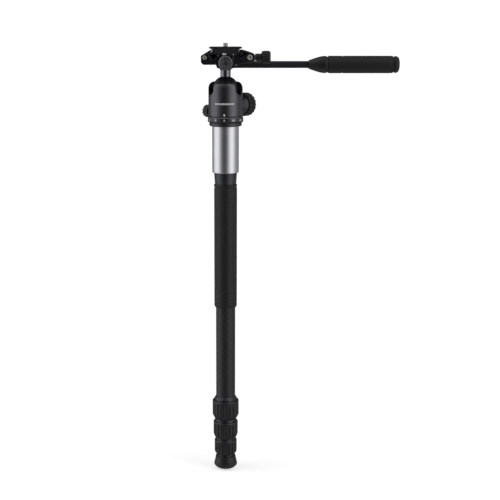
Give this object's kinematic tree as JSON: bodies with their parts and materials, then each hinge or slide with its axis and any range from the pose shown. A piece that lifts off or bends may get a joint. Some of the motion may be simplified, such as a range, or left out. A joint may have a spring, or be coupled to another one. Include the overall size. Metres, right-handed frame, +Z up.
{
  "type": "telescoping monopod with ball head and pan handle",
  "caption": "Carbon monopod with telescoping leg, twist locks, rubber foot and grip, and a ball head with pan base, dovetail clamp, camera plate and side pan handle.",
  "frame": {"origin": "centre of the foot's flat contact face, on the leg's axis", "axes": "+Z up the leg, -Y the front with the pan index, +X the side the handle points to at rest"},
  "size_m": [0.2618, 0.0739, 0.5799],
  "materials": {
    "carbon": "woven carbon fibre tube, satin",
    "rubber": "moulded matt rubber",
    "black_metal": "black anodised, fine blasted",
    "housing_metal": "charcoal anodised, fine blasted",
    "silver_metal": "clear anodised, satin",
    "steel": "plain steel",
    "polished_steel": "polished",
    "black_plastic": "moulded nylon",
    "white_plastic": "acetal",
    "brass": "turned",
    "silver_plastic": "turned bright"
  },
  "bodies": {
    "foot_section": {"leg_tube_4": "carbon", "guide_shims_4": "white_plastic", "foot_plug": "black_metal", "foot_stud": "steel", "foot_rubber": "rubber"},
    "leg_section_3": {"leg_tube_3": "carbon", "guide_shims_3": "white_plastic", "lock_sleeve_3": "black_metal", "lock_collet_3": "white_plastic"},
    "leg_section_2": {"leg_tube_2": "carbon", "guide_shims_2": "white_plastic", "lock_sleeve_2": "black_metal", "lock_collet_2": "white_plastic"},
    "leg_section_1": {"leg_tube_1": "carbon", "lock_sleeve_1": "black_metal", "lock_collet_1": "white_plastic", "grip_sleeve": "rubber", "neck_cone": "black_plastic", "silver_collar": "silver_metal", "collar_core": "black_metal", "head_stud": "steel", "pan_base": "housing_metal", "pan_scale_ring": "housing_metal", "pan_washer": "white_plastic"},
    "twist_lock_1": {"lock_ring_1": "black_metal", "lock_cover_1": "rubber"},
    "twist_lock_2": {"lock_ring_2": "black_metal", "lock_cover_2": "rubber"},
    "twist_lock_3": {"lock_ring_3": "black_metal", "lock_cover_3": "rubber"},
    "head_housing": {"housing": "housing_metal", "pan_shoe": "brass"},
    "pan_lock": {"pan_knob": "black_metal"},
    "main_lock": {"main_spindle": "steel", "main_knob_core": "housing_metal", "main_knob_rubber": "rubber"},
    "plunger": {"wedge_plunger": "steel"},
    "cup": {"ball_cup": "white_plastic"},
    "ball_and_stem": {"ball": "black_metal", "ball_stem": "polished_steel"},
    "clamp": {"clamp_body": "black_metal", "clamp_cap_screw": "steel"},
    "jaw": {"clamp_jaw": "black_metal", "jaw_guide_pins": "steel", "jaw_cap_screw": "steel"},
    "jaw_knob": {"clamp_screw": "steel", "clamp_knob": "black_metal"},
    "plate": {"quick_plate": "black_metal", "plate_pads": "rubber", "plate_stop_screws": "steel"},
    "camera_bolt": {"camera_screw": "steel"},
    "handle": {"handle_arm": "black_metal", "handle_ferrule": "black_plastic", "handle_grip": "rubber", "handle_end_cap": "black_plastic", "handle_nut": "steel"},
    "handle_lock": {"handle_disc": "black_metal", "handle_bolt": "silver_plastic"}
  },
  "joints": [
    {"name": "slide_3", "type": "slide", "parent": "foot_section", "child": "leg_section_3", "axis": [0, 0, 1], "range_m": [0, 0.31]},
    {"name": "slide_2", "type": "slide", "parent": "leg_section_3", "child": "leg_section_2", "axis": [0, 0, 1], "range_m": [0, 0.31]},
    {"name": "slide_1", "type": "slide", "parent": "leg_section_2", "child": "leg_section_1", "axis": [0, 0, 1], "range_m": [0, 0.31]},
    {"name": "lock_twist_1", "type": "hinge", "parent": "leg_section_1", "child": "twist_lock_1", "pos_m": [0, 0, 0.086], "axis": [0, 0, 1], "range_deg": [0, 110]},
    {"name": "lock_twist_2", "type": "hinge", "parent": "leg_section_2", "child": "twist_lock_2", "pos_m": [0, 0, 0.057], "axis": [0, 0, 1], "range_deg": [0, 110]},
    {"name": "lock_twist_3", "type": "hinge", "parent": "leg_section_3", "child": "twist_lock_3", "pos_m": [0, 0, 0.032], "axis": [0, 0, 1], "range_deg": [0, 110]},
    {"name": "pan", "type": "hinge", "parent": "leg_section_1", "child": "head_housing", "pos_m": [0, 0, 0.4856], "axis": [0, 0, 1], "continuous": true},
    {"name": "pan_lock_turn", "type": "hinge", "parent": "head_housing", "child": "pan_lock", "pos_m": [-0.01928, 0.02298, 0.4906], "axis": [-0.6428, 0.766, 0], "range_deg": [0, 300]},
    {"name": "main_lock_turn", "type": "hinge", "parent": "head_housing", "child": "main_lock", "pos_m": [0.01928, 0.02298, 0.4992], "axis": [0.6428, 0.766, 0], "range_deg": [0, 300]},
    {"name": "plunger_slide", "type": "slide", "parent": "head_housing", "child": "plunger", "axis": [0.6428, 0.766, 0], "range_m": [0, 0.00084]},
    {"name": "ball_swivel", "type": "hinge", "parent": "head_housing", "child": "cup", "pos_m": [0, 0, 0.5209], "axis": [0, 0, 1], "continuous": true},
    {"name": "ball_tilt", "type": "hinge", "parent": "cup", "child": "ball_and_stem", "pos_m": [0, 0, 0.5209], "axis": [0, 1, 0], "range_deg": [-33, 33]},
    {"name": "ball_spin", "type": "hinge", "parent": "ball_and_stem", "child": "clamp", "pos_m": [0, 0, 0.548], "axis": [0, 0, 1], "continuous": true},
    {"name": "jaw_slide", "type": "slide", "parent": "clamp", "child": "jaw", "axis": [1, 0, 0], "range_m": [0, 0.00374]},
    {"name": "jaw_knob_turn", "type": "hinge", "parent": "jaw", "child": "jaw_knob", "pos_m": [0.04, 0, 0.5615], "axis": [1, 0, 0], "range_deg": [0, 1080]},
    {"name": "plate_slide", "type": "slide", "parent": "clamp", "child": "plate", "axis": [0, 1, 0], "range_m": [-0.003, 0.003]},
    {"name": "camera_screw_turn", "type": "hinge", "parent": "plate", "child": "camera_bolt", "pos_m": [0, 0, 0.575], "axis": [0, 0, 1], "continuous": true},
    {"name": "handle_tilt", "type": "hinge", "parent": "clamp", "child": "handle", "pos_m": [0, 0.0287, 0.5548], "axis": [0, -1, 0], "range_deg": [-25, 70]},
    {"name": "handle_lock_turn", "type": "hinge", "parent": "clamp", "child": "handle_lock", "pos_m": [0, -0.0229, 0.5548], "axis": [0, -1, 0], "range_deg": [0, 300]}
  ],
  "couplings": [
    {"joint": "jaw_knob_turn", "follows": "jaw_slide", "rad_per_m": 5026.5},
    {"joint": "plunger_slide", "follows": "main_lock_turn", "m_per_rad": 0.00015915}
  ]
}
